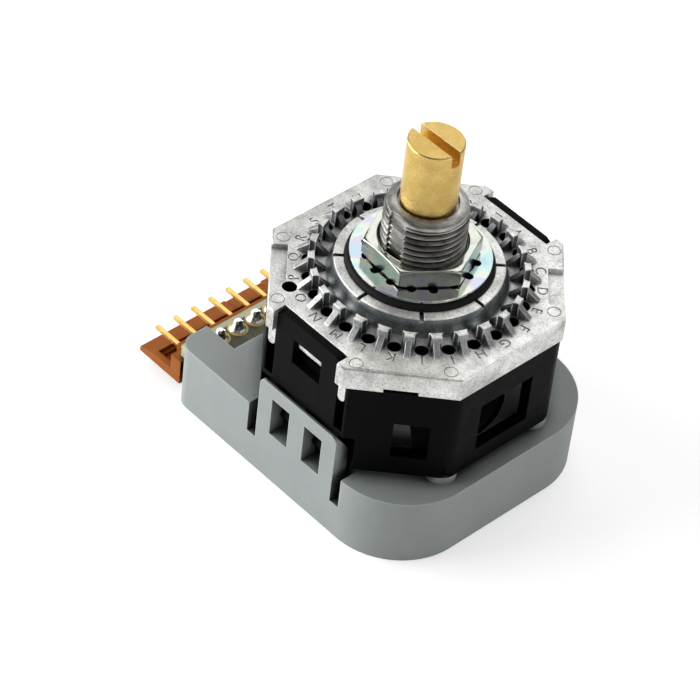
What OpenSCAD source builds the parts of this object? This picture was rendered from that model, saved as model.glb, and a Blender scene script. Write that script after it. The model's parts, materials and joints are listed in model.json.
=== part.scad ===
// Panel-mounted rotary code switch with a die-cast index head and a side connector.
// The origin is on the shaft axis, at the top face of the head plate, and +Z points to the knob.
// The connector leaves along -X, and the clip tabs of the base are on the -Y and +Y sides.

/* [Head plate] */
// Width of the head plate across its X flats
plate_x = 29; // [28:0.1:32]
// Width of the head plate across its Y flats
plate_y = 31.6; // [31:0.1:34]
// Length of the straight edges on the X flats
edge_y = 14.8; // [14:0.1:16]
// Length of the straight edges on the Y flats
edge_x = 11.6; // [11.2:0.1:12.5]
// Thickness of the plate
plate_t = 1.6; // [1.4:0.1:2]
// Height of the skirt around the plate, measured from the top face
skirt_h = 2.7; // [2.4:0.1:3]
// Wall of the skirt
skirt_t = 1.3; // [1.1:0.1:1.5]
// Depth of the recess that takes the side panels of the frame
recess_d = 1.6; // [1.4:0.05:1.7]
// Width of the recess that takes the side panels of the frame
recess_w = 9.6; // [9:0.1:10]
// Reach of the locating legs below the top face
leg_h = 5.2; // [4:0.1:5.8]
// Width of a locating leg
leg_w = 1; // [0.6:0.05:1]

/* [Index ring] */
// Number of switch positions, each with one hole for a stop pin
positions = 26; // [24:1:28]
// Radius of the circle of stop-pin holes
hole_circle_r = 11.55; // [11.2:0.05:11.8]
// Diameter of a stop-pin hole
hole_d = 1.4; // [1.2:0.05:1.6]
// Radius of the hollow flanks of the guide posts, about the hole's axis
flank_r = 0.85; // [0.8:0.05:0.95]
// Height of the guide posts between the holes
post_h = 1.9; // [1.2:0.1:2.2]
// Radial thickness of a guide post
post_t = 0.7; // [0.6:0.05:0.9]
// Thickness of the ribs that hold each post
rib_t = 0.65; // [0.5:0.05:0.7]
// Height of the ribs
rib_h = 1.2; // [0.9:0.05:1.6]
// Height of the raised seal ring
ring_h = 1.95; // [1.5:0.05:2.4]
// Outer radius of the raised seal ring
ring_r = 8.95; // [8.7:0.05:9.1]
// Number of notches in the rim of the seal ring
ring_notches = 8; // [4:1:12]
// Diameter of the single hole outside the index ring
single_hole_d = 1.64; // [1.5:0.02:1.8]

/* [Bushing and shaft] */
// Diameter of the threaded bushing
bushing_d = 9; // [8.4:0.1:9.2]
// Height of the bushing above the plate
bushing_h = 10.35; // [9:0.05:12]
// Length of the smooth neck at the bushing's mouth
neck_h = 0.85; // [0.7:0.05:1.2]
// Width of the keyway in the bushing
keyway_w = 2.2; // [1.6:0.1:2.6]
// Depth of the keyway in the bushing
keyway_d = 0.5; // [0.3:0.05:0.7]
// Diameter of the shaft
shaft_d = 6; // [5.6:0.05:6.2]
// Height of the shaft end above the plate
shaft_h = 18.2; // [16:0.1:30]
// Radial running clearance of the shaft
shaft_fit = 0.03; // [0.02:0.01:0.05]
// Width of the screwdriver slot
slot_w = 1.2; // [0.8:0.1:1.6]
// Depth of the screwdriver slot
slot_d = 1.6; // [1:0.1:2]
// Diameter of the steel drive spindle
spindle_d = 2.9; // [2.4:0.1:3.2]

/* [Panel fixings] */
// Width of the nut across its flats
nut_af = 11; // [10.6:0.1:11.6]
// Thickness of the nut
nut_t = 2.3; // [1.8:0.1:3]
// Outer diameter of the lock washer
washer_d = 15; // [14:0.1:15.4]
// Thickness of the lock washer
washer_t = 0.45; // [0.3:0.05:0.6]
// Number of inner teeth of the lock washer
washer_teeth = 16; // [12:1:17]
// Thickness of the panel seal
seal_t = 2.9; // [2.6:0.1:3.2]

/* [Frame] */
// Height of the frame below the skirt
frame_h = 11.5; // [11.3:0.1:12]
// Wall of the frame
frame_t = 1.3; // [1.1:0.1:1.4]
// Thickness of the deck that carries the detent
deck_t = 0.8; // [0.7:0.1:0.9]
// Width of the side window on the X faces
window_w = 7.4; // [5:0.1:8.4]
// Height of the side window on the X faces
window_h = 6.2; // [4.6:0.1:6.4]
// Width of the small corner window
corner_window_w = 3.8; // [2.5:0.1:3.9]
// Height of the small corner window
corner_window_h = 4.6; // [3:0.1:5.2]

/* [Detent] */
// Radius of the detent wheel over its teeth
wheel_r = 9; // [8.6:0.1:9.1]
// Thickness of the detent wheel
wheel_t = 1.8; // [1.6:0.1:1.9]
// Diameter of a detent ball
ball_d = 1.8; // [1.6:0.1:1.8]
// Travel of a detent ball out of its notch
ball_travel = 0.3; // [0.2:0.05:0.35]
// Thickness of the detent leaf springs
leaf_t = 0.25; // [0.2:0.05:0.3]

/* [Base] */
// Height of the base
base_h = 8.3; // [7.8:0.1:9]
// Gap between the frame and the base, held by four bosses
boss_h = 0.9; // [0.6:0.1:1.2]
// Reach of the base on the +X side
base_x = 16; // [15.8:0.1:17]
// Reach of the base on the connector side
base_end = 18.9; // [18.5:0.1:20]
// Width of the base along Y
base_y = 31.28; // [31:0.02:33]
// Radius of the large corners of the base
base_r = 8.5; // [7.5:0.1:9]
// Radius of the small corners at the connector end
end_r = 2; // [1:0.1:3]
// Wall of the base
base_t = 1.94; // [1.8:0.02:2.1]
// Thickness of the roof of the base
roof_t = 1.2; // [1:0.1:1.4]
// Width of a clip tab
tab_w = 11.8; // [11:0.1:12]
// Height of a clip tab above the roof
tab_h = 4.9; // [4.4:0.1:5]
// Width of the slots beside a clip tab
tab_gap = 1.3; // [1:0.1:1.6]
// Width of a clip window
clip_w = 2.7; // [2:0.1:3]
// Height of a clip window
clip_h = 5; // [4.4:0.1:5.2]
// Distance between the two windows of a tab
clip_pitch = 5; // [4.6:0.1:5.6]
// Thickness of the bottom cover
cover_t = 1.2; // [0.9:0.1:1.4]

/* [Circuit board and connector] */
// Thickness of the circuit board
board_t = 1.6; // [1.2:0.1:1.7]
// Depth of the board's top face below the roof of the base
board_drop = 2; // [1.8:0.05:2.2]
// How far the board reaches out of the base
board_out = 0.9; // [0.3:0.1:1.2]
// Pitch of the connector pins
pin_pitch = 2.54; // [2.5:0.01:3]
// Width of a square pin
pin_w = 0.5; // [0.46:0.02:0.7]
// Reach of the pin tips from the shaft axis
pin_reach = 25.55; // [25:0.05:27]
// Depth of the pins below the board's top face
pin_drop = 2.4; // [2.3:0.05:3]
// Length of the connector body along Y
header_y = 29.7; // [29:0.1:30.6]
// Reach of the connector body beyond the base
header_x = 2.5; // [2:0.1:3]
// Thickness of the connector's lock plate at its ridge
lock_t = 1.15; // [1:0.05:1.3]
// Thickness of the lock plate at its outer edge
lock_edge_t = 0.6; // [0.5:0.05:0.8]

/* [Hidden] */

$fn = 64;
// Clearance between parts that are fitted together, and the overshoot of every cut
fit = 0.05;
over = 1;
step_angle = 360 / positions;

// Head
skirt_z = -skirt_h;
bushing_r = bushing_d / 2;
neck_r = bushing_r - 0.23;
neck_chamfer = 0.4;
seal_floor_z = -0.3;
ring_in_r = ring_r - 1;
recess_y = plate_y / 2 - recess_d;
hook_w = 3.7;
hook_h = 1.5;
hook_reach = 0.45;
tongue_w = 5;
tongue_t = 0.7;
post_r = hole_circle_r - 0.25;
rib_reach = 1.7;
ring_foot = 0.6;
notch_w = 0.45;
notch_h = 0.4;
notch_turn = 2.9;
field_w = 5.45;
field_end = 1.85;
field_d = 1.73;
field_depth = 0.55;
rim_notch_w = 3.6;
rim_notch_h = 0.45;
single_hole_x = -6.6;
single_hole_y = -12.04;
mark_r = 0.75;
mark_depth = 0.08;
corner_x = edge_x / 2;
corner_y = edge_y / 2;
edge_mid_x = (plate_x / 2 + corner_x) / 2;
edge_mid_y = (plate_y / 2 + corner_y) / 2;
edge_turn = atan2(plate_y / 2 - corner_y, plate_x / 2 - corner_x);

// Shaft: below a shoulder just above the bushing it is thinner, as the journal that runs in the bore
shaft_r = shaft_d / 2;
journal_r = shaft_r - 0.25;
drive_flat_w = 0.8 * shaft_d;
shoulder_z = bushing_h + 0.1;
mouth_r = shaft_r + 0.25;
mouth_depth = 0.6;
end_chamfer = 0.12;
clip_groove_depth = 0.6;
seal_groove_w = 0.95;
seal_groove_z = bushing_h - 4.4;
seal_cord_r = 0.38;

// Stack on the shaft below the plate
spindle_r = spindle_d / 2;
thrust_t = 0.3;
arm_t = 0.9;
arm_reach = hole_circle_r + 0.85;
layer_gap = 0.05;
thrust_z = -plate_t - thrust_t - layer_gap / 2;
arm_z = thrust_z - arm_t - layer_gap / 2;
wheel_z = arm_z - wheel_t - layer_gap;
clip_ring_t = 0.4;
clip_ring_z = wheel_z - clip_ring_t - layer_gap;
shaft_end_z = clip_ring_z - 0.7;
spindle_depth = 2.5;

// Frame
frame_gap = 0.1;
frame_y = plate_y / 2 - 0.6;
frame_z = skirt_z - frame_h;
deck_top_z = wheel_z - 0.2;
deck_z = deck_top_z - deck_t;
deck_bore_r = shaft_r + 1.2;
panel_top_z = -0.05;
panel_chamfer_x = 0.8;
panel_chamfer_z = 0.5;
panel_w = recess_w - 2 * fit;
panel_t = frame_y - recess_y - fit;
panel_step_z = frame_z + 4.3;
lower_wall_y = base_y / 2 - base_t - 0.25;
panel_slot_w = leg_w + 0.2;
bay_w = tab_w + 2 * tab_gap;
bay_roof_t = 1;
window_top_z = deck_z - 0.15;
corner_window_drop = 4.4;
snap_w = 4.15;
snap_h = 3.1;
snap_top_z = -2.4;
lug_w = clip_w - 0.3;
lug_h = 1.6;
lug_reach = 0.9;

// Detent
ball_r = ball_d / 2;
ball_y = wheel_r + ball_r + 0.03;
ball_z = deck_top_z + ball_r + fit;
notch_depth = 0.35;
leaf_h = 1.7;
leaf_y = ball_y + ball_r + ball_travel + fit;
leaf_half = 5;
leaf_sag = 1.25;
leaf_r = (leaf_half * leaf_half + leaf_sag * leaf_sag) / (2 * leaf_sag);
cheek_t = 1.4;

// Base
roof_z = frame_z - boss_h;
base_z = roof_z - base_h;
roof_under_z = roof_z - roof_t;
board_z = roof_z - board_drop;
board_under_z = board_z - board_t;
cover_z = base_z + cover_t;
tab_top_z = roof_z + tab_h;
slot_z = roof_z - 4;
clip_z = roof_z - 1.9;
ledge_t = 1;
tab_slope_h = 2.4;
rotor_bore_r = 11;
boss_r = 1.7;
boss_x = plate_x / 2 - 1.8;
boss_y = corner_y - 0.8;
roof_notch_x = 4.5;
roof_notch_y = 23;
pivot_bore_r = spindle_r + shaft_fit;
pivot_r = pivot_bore_r + 1.3;
pivot_h = 2.9;
prop_r = 1.3;

// Rotor and contacts
rotor_r = rotor_bore_r - 0.6;
rotor_t = 1.2;
rotor_z = roof_under_z + 0.1;
rotor_hub_r = spindle_r + 1.8;
rotor_hub_h = 1.6;
brush_t = 0.2;
brush_w = 0.5;
brush_len = 2;
track_t = 0.05;
track_w = 0.9;
track_pitch = 1.6;
track_r = 4.6;
tracks = 4;

// Connector
solder_r = 0.95;
solder_h = 1.35;
pin_x = base_end - 0.8;
pin_z = board_z - pin_drop;
pin_top_z = board_z + 1.1;
pin_hole_r = pin_w * 0.72;
pins = floor((base_y - 2 * (base_t + solder_r) + 0.01) / pin_pitch) + 1;
pin_row = (pins - 1) * pin_pitch;
board_lip_y = base_y / 2 - base_t + 0.45;
header_face = base_end + 0.1;
header_top_z = board_under_z - fit;
header_drop = 2.45;
header_z = pin_z - header_drop;
body_out = header_face + header_x;
body_step_x = 0.9;
body_step_y = 1.65;
lock_reach = pin_reach + 0.1;
channel_x = body_out + 1.9;
channel_z = 0.7;
lock_rim_t = 0.75;
lock_groove_w = 1.5;
lock_groove_y = 1.95;
lock_groove_depth = 0.25;
lock_pocket_y = 2.05;
lock_pocket_x = 1.5;

// Outline of the head plate, moved inwards by d on every side
function plate_outline(d) =
    let (nx = plate_y / 2 - corner_y,
         ny = plate_x / 2 - corner_x,
         len = sqrt(nx * nx + ny * ny),
         c = (nx * plate_x / 2 + ny * corner_y) / len - d,
         x = plate_x / 2 - d,
         y = plate_y / 2 - d,
         ey = (c - nx / len * x) / (ny / len),
         ex = (c - ny / len * y) / (nx / len))
    [[x, -ey], [x, ey], [ex, y], [-ex, y], [-x, ey], [-x, -ey], [-ex, -y], [ex, -y]];

module plate_prism(d, z, h) {
    translate([0, 0, z])
        linear_extrude(h)
            polygon(plate_outline(d));
}

module centred_box(x, y, z, h) {
    translate([-x / 2, -y / 2, z])
        cube([x, y, h]);
}

module rod(r, z, h) {
    translate([0, 0, z])
        cylinder(r = r, h = h);
}

// A hollow round part
module tube(r, bore_r, z, h) {
    difference() {
        rod(r, z, h);
        rod(bore_r, z - over, h + 2 * over);
    }
}

// Places its children on the -Y side and, turned about the axis, on the +Y side
module both_sides() {
    for (turn = [0, 180])
        rotate([0, 0, turn])
            children();
}

// Places its children at both ends along X, mirrored
module mirrored_x() {
    children();
    mirror([1, 0, 0])
        children();
}

// Places its children at each switch position, or half a step on
module at_positions(offset_steps = 0) {
    for (i = [0 : positions - 1])
        rotate([0, 0, (i + offset_steps) * step_angle])
            children();
}

// Section of the shaft where the wheels are driven: round with two flats
module drive_section(grow) {
    intersection() {
        circle(r = journal_r + grow);
        square([2 * shaft_r + 2 * over, drive_flat_w + 2 * grow], center = true);
    }
}

module drive_bore(z, h) {
    translate([0, 0, z - over])
        linear_extrude(h + 2 * over)
            drive_section(fit / 2);
}

// Guide posts between the stop-pin holes, each with hollow flanks, on a lower rib with two slopes
module guide_posts() {
    difference() {
        tube(post_r + post_t / 2, post_r - post_t / 2, -0.1, post_h + 0.1);
        at_positions()
            translate([hole_circle_r, 0, -over])
                cylinder(r = flank_r, h = post_h + 2 * over);
    }
    at_positions(0.5)
        translate([0, rib_t / 2, 0])
            rotate([90, 0, 0])
                linear_extrude(rib_t)
                    polygon([
                        [post_r - rib_reach, -0.2],
                        [post_r - rib_reach, 0],
                        [post_r - post_t / 2, rib_h],
                        [post_r + post_t / 2, rib_h],
                        [post_r + rib_reach, 0],
                        [post_r + rib_reach, -0.2]
                    ]);
}

module seal_ring_wall() {
    difference() {
        rotate_extrude()
            polygon([
                [ring_in_r, -0.5],
                [ring_in_r, ring_h],
                [ring_r, ring_h],
                [ring_r + 0.08, ring_h - 0.15],
                [ring_r + ring_foot / 4, ring_h / 2],
                [ring_r + ring_foot / 2, ring_h / 5],
                [ring_r + ring_foot, 0],
                [ring_r + ring_foot, -0.5]
            ]);
        for (i = [0 : ring_notches - 1])
            rotate([0, 0, notch_turn + i * 360 / ring_notches])
                translate([ring_in_r - over, -notch_w / 2, ring_h - notch_h])
                    cube([2 + over, notch_w, over]);
    }
}

module bushing_outline() {
    rotate_extrude()
        polygon([
            [0, seal_floor_z - 0.1],
            [bushing_r, seal_floor_z - 0.1],
            [bushing_r, bushing_h - neck_h],
            [neck_r, bushing_h - neck_h],
            [neck_r, bushing_h - neck_chamfer],
            [mouth_r + 0.1, bushing_h],
            [0, bushing_h]
        ]);
}

// Leg beside the recess, with a rounded tip, seen along Y
module head_leg() {
    tip_r = leg_w / 2;
    translate([recess_w / 2 + fit, 0.1 - recess_y, 0])
        rotate([90, 0, 0])
            linear_extrude(frame_y - recess_y + 0.1)
                union() {
                    translate([0, tip_r - leg_h])
                        square([leg_w, leg_h - tip_r - plate_t / 2]);
                    translate([tip_r, tip_r - leg_h])
                        circle(r = tip_r);
                }
}

// Tongue behind the frame's side panel, with the hook that locks into the panel's window
module head_tongue() {
    tongue_z = snap_top_z - hook_h - 0.3;
    translate([-tongue_w / 2, -recess_y, tongue_z])
        cube([tongue_w, tongue_t, -plate_t - tongue_z + 0.1]);
    translate([-hook_w / 2, -recess_y, snap_top_z - 0.1 - hook_h])
        rotate([90, 0, 90])
            linear_extrude(hook_w)
                polygon([[0.1, 0], [0.1, hook_h], [-hook_reach, hook_h], [-hook_reach, 0.5], [0, 0]]);
}

// Shallow field for marking, open to the slanted edge of the plate
module marking_field() {
    translate([edge_mid_x, edge_mid_y, -field_depth])
        rotate([0, 0, 180 - edge_turn])
            translate([field_end - field_w, -over, 0])
                cube([field_w, field_d + over, over]);
}

// Low notch in the lower rim of the skirt, in the middle of a slanted face
module rim_notch() {
    translate([edge_mid_x, -edge_mid_y, skirt_z - over])
        rotate([0, 0, edge_turn])
            translate([-rim_notch_w / 2, -over, 0])
                cube([rim_notch_w, skirt_t + 2 * over, rim_notch_h + over]);
}

// Round ejector marks near the eight corners
module ejector_marks() {
    for (sx = [-1, 1], sy = [-1, 1])
        for (p = [[plate_x / 2 - 1.75, corner_y], [corner_x + 0.2, plate_y / 2 - 1.6]])
            translate([sx * p[0], sy * p[1], 0])
                tube(mark_r, mark_r - 0.1, -mark_depth, over);
}

module head_casting() {
    color("gainsboro")
        difference() {
            union() {
                difference() {
                    plate_prism(0, skirt_z, skirt_h);
                    plate_prism(skirt_t, skirt_z - over, skirt_h - plate_t + over);
                    both_sides()
                        translate([-recess_w / 2, -plate_y / 2 - over, skirt_z - over])
                            cube([recess_w, recess_d + over, skirt_h + 2 * over]);
                    rod(ring_in_r, seal_floor_z, over);
                }
                both_sides() {
                    translate([-recess_w / 2 - skirt_t, -recess_y, skirt_z])
                        cube([recess_w + 2 * skirt_t, skirt_t, skirt_h - plate_t + 0.1]);
                    mirrored_x()
                        head_leg();
                    head_tongue();
                }
                seal_ring_wall();
                guide_posts();
                bushing_outline();
            }
            at_positions()
                translate([hole_circle_r, 0, -plate_t - over])
                    cylinder(d = hole_d, h = plate_t + post_h + 2 * over);
            translate([single_hole_x, single_hole_y, -plate_t - over])
                cylinder(d = single_hole_d, h = plate_t + 2 * over);
            rod(journal_r + shaft_fit, -plate_t - over, bushing_h + plate_t + 2 * over);
            rod(mouth_r, bushing_h - mouth_depth, over);
            translate([-keyway_w / 2, -bushing_r - over, seal_floor_z])
                cube([keyway_w, keyway_d + over, bushing_h + over - seal_floor_z]);
            ejector_marks();
            both_sides() {
                marking_field();
                rim_notch();
            }
        }
}

module hex_nut() {
    z = seal_t + seal_floor_z + washer_t;
    corner_r = nut_af / 2 / cos(30);
    bore_r = bushing_r + fit;
    color("silver")
        difference() {
            intersection() {
                translate([0, 0, z])
                    rotate([0, 0, -5])
                        cylinder(r = corner_r, h = nut_t, $fn = 6);
                translate([0, 0, z])
                    rotate_extrude()
                        polygon([
                            [0, 0],
                            [nut_af / 2 + 0.2, 0],
                            [corner_r + 0.1, 0.4],
                            [corner_r + 0.1, nut_t - 0.4],
                            [nut_af / 2 + 0.1, nut_t],
                            [0, nut_t]
                        ]);
            }
            rod(bore_r, z - over, nut_t + 2 * over);
            translate([0, 0, z + nut_t - 0.3])
                cylinder(r1 = bore_r - 0.01, r2 = bore_r + 0.31, h = 0.32);
        }
}

// Washer with twisted inner teeth: one flank of each tooth is raised and the other lowered
module lock_washer() {
    ring_bore_r = 5.75;
    root_r = ring_bore_r + 0.1;
    gap_r = 0.47;
    tooth_tip_r = bushing_r + 0.35;
    tooth_w = 1.24;
    edge_t = 0.2;
    tooth_step = 360 / washer_teeth;
    tooth_turn = 0.63 * tooth_step;
    color("lightsteelblue")
        translate([0, 0, seal_t + seal_floor_z])
            union() {
                linear_extrude(washer_t)
                    difference() {
                        circle(r = washer_d / 2);
                        circle(r = ring_bore_r);
                        for (i = [0 : washer_teeth - 1])
                            rotate(tooth_turn + (i + 0.5) * tooth_step)
                                translate([root_r, 0])
                                    circle(r = gap_r);
                    }
                for (i = [0 : washer_teeth - 1])
                    rotate([0, 0, tooth_turn + i * tooth_step])
                        translate([tooth_tip_r, 0, 0])
                            rotate([90, 0, 90])
                                linear_extrude(root_r - tooth_tip_r)
                                    polygon([
                                        [-tooth_w / 2, washer_t], [-tooth_w / 2, washer_t - edge_t - 0.05],
                                        [tooth_w / 2, 0], [tooth_w / 2, edge_t]
                                    ]);
            }
}

module panel_seal() {
    seal_r = ring_in_r - fit;
    round_r = 0.5;
    color("#202020")
        translate([0, 0, seal_floor_z])
            rotate_extrude()
                difference() {
                    translate([bushing_r + fit, 0])
                        square([seal_r - bushing_r - fit, seal_t]);
                    translate([seal_r - round_r, seal_t - round_r])
                        difference() {
                            square(over);
                            circle(r = round_r);
                        }
                }
}

// Groove in the shaft, cut as a ring
module shaft_groove(bottom_r, z, h) {
    difference() {
        rod(shaft_r + over, z, h);
        rod(bottom_r, z - over, h + 2 * over);
    }
}

module shaft() {
    color("goldenrod")
        difference() {
            union() {
                rod(journal_r, -plate_t, shoulder_z + plate_t + 0.1);
                rod(shaft_r, shoulder_z, shaft_h - end_chamfer - shoulder_z);
                translate([0, 0, shaft_h - end_chamfer])
                    cylinder(r1 = shaft_r, r2 = shaft_r - end_chamfer, h = end_chamfer);
                translate([0, 0, shaft_end_z])
                    linear_extrude(-plate_t - shaft_end_z)
                        drive_section(0);
            }
            translate([-shaft_r - over, -slot_w / 2, shaft_h - slot_d])
                cube([2 * shaft_r + 2 * over, slot_w, slot_d + over]);
            shaft_groove(journal_r - 2 * seal_cord_r, seal_groove_z, seal_groove_w);
            shaft_groove(journal_r - clip_groove_depth, clip_ring_z - 0.03, clip_ring_t + 0.06);
            rod(spindle_r, shaft_end_z - over, spindle_depth + over);
        }
}

// Round sealing ring in the shaft's groove, inside the bushing
module shaft_seal() {
    color("#303030")
        translate([0, 0, seal_groove_z + seal_groove_w / 2])
            rotate_extrude()
                translate([journal_r + shaft_fit - seal_cord_r - 0.01, 0])
                    circle(r = seal_cord_r, $fn = 32);
}

module drive_spindle() {
    foot_z = cover_z + 0.4;
    color("lightgray")
        union() {
            rod(spindle_r, foot_z + 0.3, shaft_end_z + spindle_depth - foot_z - 0.3);
            translate([0, 0, foot_z])
                cylinder(r1 = spindle_r - 0.3, r2 = spindle_r, h = 0.3);
        }
}

// Open retaining ring with three lugs on the shaft's groove
module retaining_ring() {
    color("dimgray")
        difference() {
            tube(journal_r + 0.9, journal_r - clip_groove_depth + 0.02, clip_ring_z, clip_ring_t);
            translate([0, -1.6, clip_ring_z - over])
                cube([shaft_d, 3.2, clip_ring_t + 2 * over]);
            for (turn = [90, -90])
                rotate([0, 0, turn])
                    translate([journal_r, 0, clip_ring_z - over])
                        cylinder(r = 0.7, h = clip_ring_t + 2 * over);
        }
}

module thrust_washer() {
    color("#26282a")
        difference() {
            rod(shaft_r + 1.9, thrust_z, thrust_t);
            drive_bore(thrust_z, thrust_t);
        }
}

// Arm that meets the stop pins below the plate; at every position it stands between two holes
module stop_arm() {
    root_w = 4.6;
    tip_w = 2 * (hole_circle_r * sin(step_angle / 2) - hole_d / 2) - 0.1;
    color("darkgray")
        difference() {
            translate([0, 0, arm_z])
                linear_extrude(arm_t)
                    union() {
                        circle(r = shaft_r + 2.3);
                        rotate(step_angle / 2)
                            polygon([
                                [0, -root_w / 2], [hole_circle_r - 1.6, -tip_w], [arm_reach, -tip_w / 2],
                                [arm_reach, tip_w / 2], [hole_circle_r - 1.6, tip_w], [0, root_w / 2]
                            ]);
                    }
            drive_bore(arm_z, arm_t);
        }
}

module detent_wheel() {
    notch_r = 0.8;
    color("#26282a")
        difference() {
            rod(wheel_r, wheel_z, wheel_t);
            rotate([0, 0, 90])
                at_positions()
                    translate([wheel_r - notch_depth + notch_r, 0, wheel_z - over])
                        cylinder(r = notch_r, h = wheel_t + 2 * over);
            drive_bore(wheel_z, wheel_t);
        }
}

module detent_ball() {
    color("silver")
        translate([0, -ball_y, ball_z])
            sphere(r = ball_r);
}

module detent_ball_front() {
    detent_ball();
}

module detent_ball_rear() {
    mirror([0, 1, 0])
        detent_ball();
}

// Bowed leaf spring: its middle backs the ball and its ends bear on the frame's ribs
module detent_spring() {
    half_angle = asin(leaf_half / (leaf_r + leaf_t));
    color("lightslategray")
        translate([0, -leaf_y - leaf_r - leaf_t, ball_z - leaf_h / 2 + 0.05])
            rotate([0, 0, 90 - half_angle])
                rotate_extrude(angle = 2 * half_angle, $fn = 128)
                    translate([leaf_r, 0])
                        square([leaf_t, leaf_h]);
}

module detent_spring_front() {
    detent_spring();
}

module detent_spring_rear() {
    mirror([0, 1, 0])
        detent_spring();
}

// Block with the head's outline, cut flat on the Y sides
module frame_block(inset, side_y, z, h) {
    intersection() {
        plate_prism(inset, z, h);
        centred_box(2 * plate_x, 2 * side_y, z - over, h + 2 * over);
    }
}

// Space outside the drawn-in wall, below the side panels, where the clip tabs stand
module clip_bays(w, wall_y, top_z) {
    both_sides()
        translate([-w / 2, -plate_y, frame_z - 2 * over])
            cube([w, plate_y - wall_y, top_z - frame_z + 2 * over]);
}

// Slots beside the side panel, where the head's legs come down
module panel_slots() {
    mirrored_x()
        translate([panel_w / 2, -frame_y - over, panel_step_z + 0.6])
            cube([panel_slot_w, frame_y - recess_y + over + frame_t, skirt_z + over - panel_step_z]);
}

// Small window near the end of a slanted wall
module corner_window() {
    translate([corner_x, -plate_y / 2, skirt_z - corner_window_drop - corner_window_h])
        rotate([0, 0, edge_turn])
            translate([5.8, -over, 0])
                cube([corner_window_w, frame_t * 2 + 2 * over, corner_window_h]);
}

// Cheeks that guide the ball on the deck, and ribs that carry the ends of the leaf spring
module detent_guides() {
    guide_y = wheel_r + 0.3;
    guide_d = leaf_y - guide_y - 0.1;
    seat_y = leaf_y + leaf_sag + leaf_t;
    mirrored_x() {
        translate([ball_r + fit, -guide_y - guide_d, deck_top_z - 0.1])
            cube([cheek_t, guide_d, wheel_t + 0.1]);
        translate([leaf_half - 1, -frame_y + 0.2, deck_top_z - 0.1])
            cube([1.2, frame_y - 0.2 - seat_y, wheel_t]);
    }
}

// Upper end of a side panel in the head's recess, with cut corners
module panel_top() {
    translate([0, panel_t - frame_y, 0])
        rotate([90, 0, 0])
            linear_extrude(panel_t)
                polygon([
                    [-panel_w / 2, skirt_z - 0.1],
                    [panel_w / 2, skirt_z - 0.1],
                    [panel_w / 2, panel_top_z - panel_chamfer_z],
                    [panel_w / 2 - panel_chamfer_x, panel_top_z],
                    [panel_chamfer_x - panel_w / 2, panel_top_z],
                    [-panel_w / 2, panel_top_z - panel_chamfer_z]
                ]);
}

module switch_frame() {
    inner = frame_gap + frame_t;
    side_inner_y = frame_y - panel_t;
    color("#1c1c1e")
        difference() {
            union() {
                difference() {
                    frame_block(frame_gap, frame_y, frame_z, frame_h);
                    clip_bays(bay_w, lower_wall_y, panel_step_z);
                    difference() {
                        frame_block(inner, side_inner_y, frame_z - over, deck_z - frame_z + over);
                        clip_bays(bay_w + 2 * frame_t, lower_wall_y - frame_t, panel_step_z + bay_roof_t);
                    }
                    frame_block(inner, side_inner_y, deck_top_z, skirt_z - deck_top_z + over);
                }
                both_sides() {
                    panel_top();
                    translate([-bay_w / 2 - frame_t / 2, -lower_wall_y, frame_z + 0.1])
                        cube([bay_w + frame_t, frame_t, panel_step_z + bay_roof_t - frame_z - 0.2]);
                    for (x = [-clip_pitch / 2, clip_pitch / 2])
                        translate([x - lug_w / 2, -lower_wall_y, clip_z + clip_h - 3.1 - fit])
                            rotate([90, 0, 90])
                                linear_extrude(lug_w)
                                    polygon([
                                        [0.1, 0], [0.1, lug_h], [-0.15, lug_h],
                                        [-lug_reach, 0.4], [-lug_reach, 0]
                                    ]);
                    detent_guides();
                }
            }
            rod(deck_bore_r, deck_z - over, deck_t + 2 * over);
            both_sides() {
                translate([-snap_w / 2, -frame_y - over, snap_top_z - snap_h])
                    cube([snap_w, over + panel_t + 0.2, snap_h]);
                panel_slots();
                corner_window();
                translate([plate_x / 2 - 2 * frame_t, -window_w / 2, window_top_z - window_h])
                    cube([2 * frame_t + over, window_w, window_h]);
            }
        }
}

module code_rotor() {
    color("whitesmoke")
        difference() {
            union() {
                rod(rotor_r, rotor_z, rotor_t);
                rod(rotor_hub_r, rotor_z, rotor_t + rotor_hub_h);
            }
            rod(spindle_r, rotor_z - over, rotor_t + rotor_hub_h + 2 * over);
        }
}

// Springy contact fingers under the rotor, one to each track
module contact_brushes() {
    drop = board_drop - roof_t + 0.1 - track_t - fit;
    color("peru")
        union() {
            translate([0, 0, rotor_z - brush_t])
                linear_extrude(brush_t)
                    intersection() {
                        translate([track_r - 1, -brush_len - 1])
                            square([track_pitch * (tracks - 1) + 2, 1.6]);
                        circle(r = rotor_r - 0.3);
                    }
            for (i = [0 : tracks - 1])
                translate([track_r + i * track_pitch + brush_w / 2, -brush_len, rotor_z])
                    rotate([90, 0, -90])
                        linear_extrude(brush_w)
                            polygon([
                                [0, 0],
                                [-brush_len, brush_t - drop],
                                [-brush_len - 0.5, brush_t - drop + 0.25],
                                [-brush_len - 0.5, -drop + 0.3],
                                [-brush_len, -drop],
                                [0, -brush_t]
                            ]);
        }
}

// Inner or outer outline of the base, moved inwards by d
module base_outline(d, end_x) {
    big_r = base_r - d;
    half_y = base_y / 2 - d;
    union() {
        translate([-end_x, -half_y])
            square([end_x + base_x - base_r, 2 * half_y]);
        translate([0, -half_y + big_r])
            square([base_x - d, 2 * (half_y - big_r)]);
        for (side = [-1, 1])
            translate([base_x - base_r, side * (half_y - big_r)])
                circle(r = big_r, $fn = 96);
    }
}

module base_body_outline() {
    difference() {
        base_outline(0, base_end);
        for (side = [-1, 1])
            translate([-base_end, side * base_y / 2])
                difference() {
                    square(2 * end_r, center = true);
                    translate([end_r, -side * end_r])
                        circle(r = end_r);
                }
    }
}

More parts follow.
